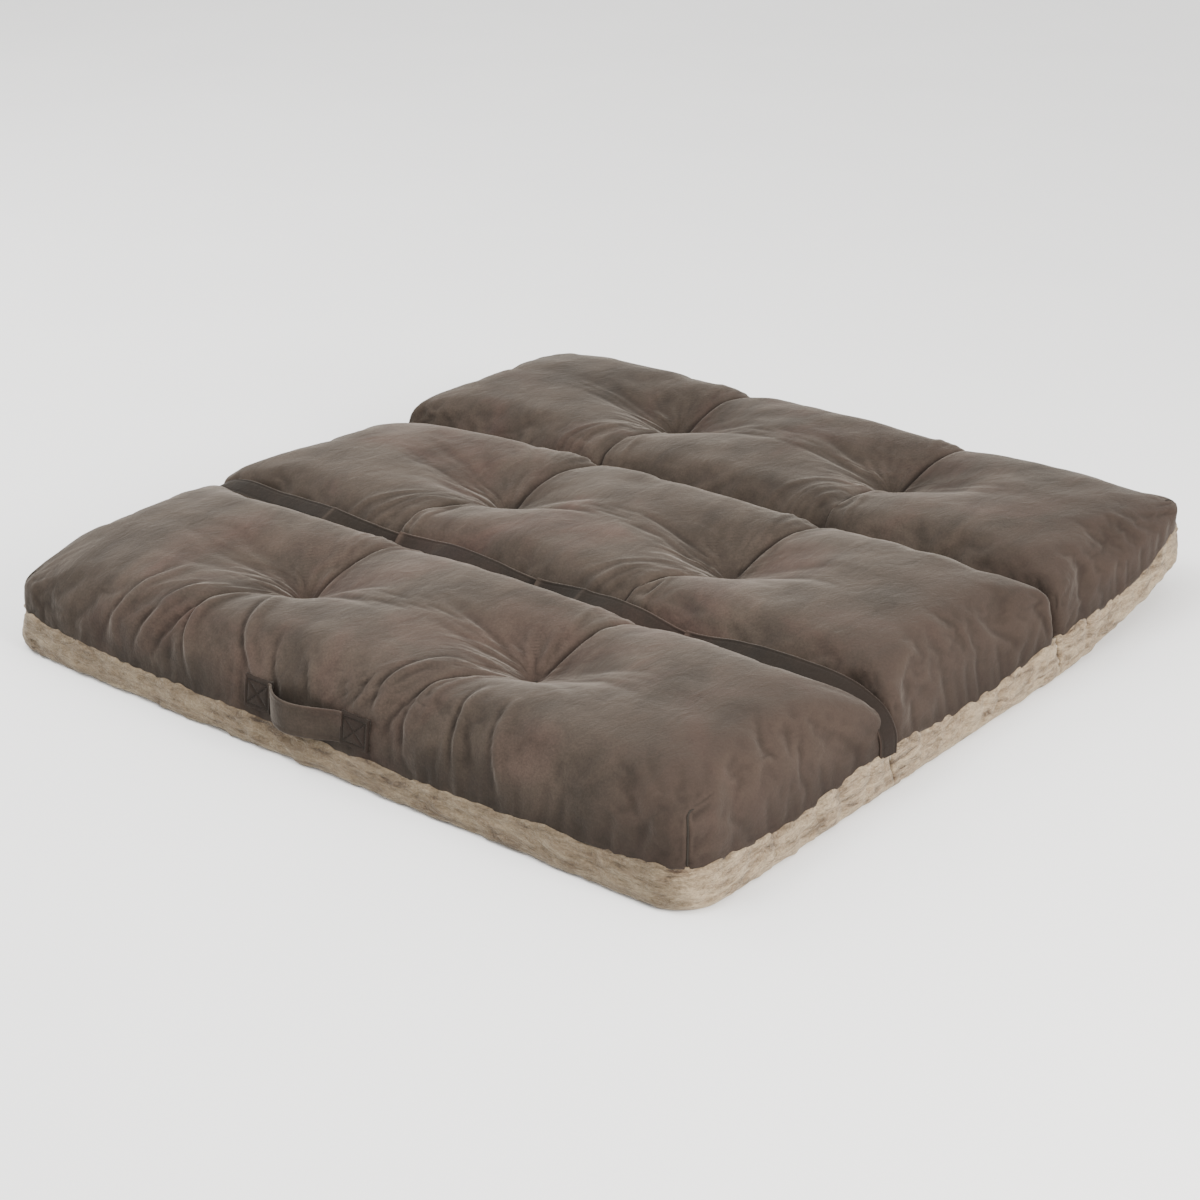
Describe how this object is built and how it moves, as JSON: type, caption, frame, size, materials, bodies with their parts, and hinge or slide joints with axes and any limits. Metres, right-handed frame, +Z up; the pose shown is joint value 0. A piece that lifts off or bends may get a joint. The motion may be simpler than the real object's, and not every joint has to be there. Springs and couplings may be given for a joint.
{
  "type": "pet cushion bed",
  "caption": "Flat square tufted pet bed of stuffed velvet sections on a plush underside, folding up at its gutters, with a carry handle on the front side.",
  "frame": {"origin": "centre of the underside, on the surface the bed lies on", "axes": "+Z up, +X along the handle's side to the right as seen from that side, +Y from the handle's side to the back"},
  "size_m": [0.914, 0.949, 0.118],
  "materials": {
    "velvet": "short-pile velvet, taupe",
    "plush": "carved short plush, beige",
    "fibre": "loose polyester fibre",
    "pad": "bonded fibre pad",
    "lining": "plain woven lining",
    "thread": "waxed sewing thread"
  },
  "bodies": {
    "middle": {"plush_tray_middle": "plush", "base_pad_middle": "pad", "fibre_fill_middle": "fibre", "velvet_cover_middle": "velvet", "tuft_tie_middle_left": "thread", "tuft_tie_middle_right": "thread", "gutter_divider_front": "lining", "gutter_divider_back": "lining", "gutter_band": "velvet", "band_tack_1": "thread", "band_tack_2": "thread", "band_tack_3": "thread"},
    "front": {"plush_tray_front": "plush", "base_pad_front": "pad", "fibre_fill_front": "fibre", "velvet_cover_front": "velvet", "tuft_tie_front_left": "thread", "tuft_tie_front_right": "thread", "handle_tab_left": "velvet", "handle_stitch_left": "thread", "handle_tab_right": "velvet", "handle_stitch_right": "thread"},
    "back": {"plush_tray_back": "plush", "base_pad_back": "pad", "fibre_fill_back": "fibre", "velvet_cover_back": "velvet", "tuft_tie_back_left": "thread", "tuft_tie_back_right": "thread"},
    "handle": {"handle_strap": "velvet"}
  },
  "joints": [
    {"name": "fold_front", "type": "hinge", "parent": "middle", "child": "front", "pos_m": [0, -0.155, 0.036], "axis": [-1, 0, 0], "range_deg": [0, 90], "deforming": ["velvet_cover_front", "fibre_fill_front", "velvet_cover_middle", "fibre_fill_middle"]},
    {"name": "fold_back", "type": "hinge", "parent": "middle", "child": "back", "pos_m": [0, 0.155, 0.036], "axis": [1, 0, 0], "range_deg": [0, 90], "deforming": ["velvet_cover_back", "fibre_fill_back", "velvet_cover_middle", "fibre_fill_middle"]},
    {"name": "handle_lift", "type": "hinge", "parent": "front", "child": "handle", "pos_m": [0, -0.463, 0.07], "axis": [-1, 0, 0], "range_deg": [0, 80]}
  ]
}
